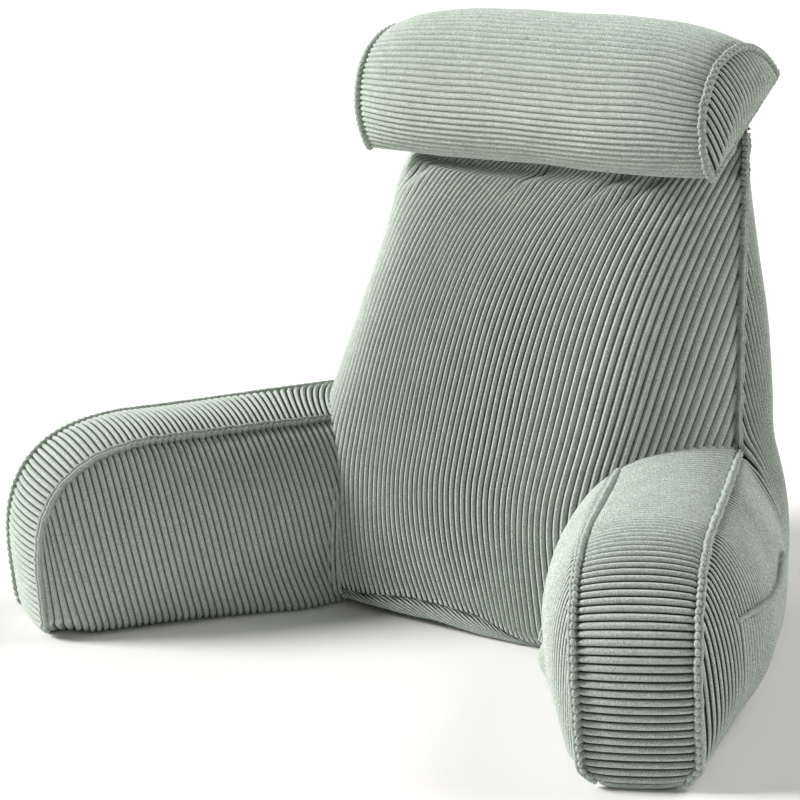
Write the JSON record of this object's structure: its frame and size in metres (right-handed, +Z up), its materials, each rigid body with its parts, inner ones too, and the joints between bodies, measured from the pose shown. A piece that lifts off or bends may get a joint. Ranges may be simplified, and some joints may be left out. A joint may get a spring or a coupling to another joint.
{
  "type": "reading pillow with arms",
  "caption": "Upright filled backrest with a padded arm on each side and a neck roll on top, in wide-wale corduroy with exposed seam edges.",
  "frame": {"origin": "on the floor, under the middle of the whole pillow's box", "axes": "+X across the pillow towards the arm that is on the right in the picture, +Y from the arms' ends towards the back panel, +Z up"},
  "size_m": [0.8526, 0.5519, 0.5665],
  "materials": {
    "corduroy_body": "matt ribbed pile",
    "corduroy_roll": "matt ribbed pile",
    "corduroy_seam_edge": "matt folded cloth edge"
  },
  "bodies": {
    "root": {"backrest": "corduroy_body", "arm_left": "corduroy_body", "arm_right": "corduroy_body", "neck_roll": "corduroy_roll", "seam_arm_left_inner": "corduroy_seam_edge", "seam_arm_left_outer": "corduroy_seam_edge", "seam_arm_right_inner": "corduroy_seam_edge", "seam_arm_right_outer": "corduroy_seam_edge", "seam_side_left": "corduroy_seam_edge", "seam_side_right": "corduroy_seam_edge", "seam_roll_left": "corduroy_seam_edge", "seam_roll_right": "corduroy_seam_edge", "pocket_edge": "corduroy_seam_edge"}
  },
  "joints": []
}
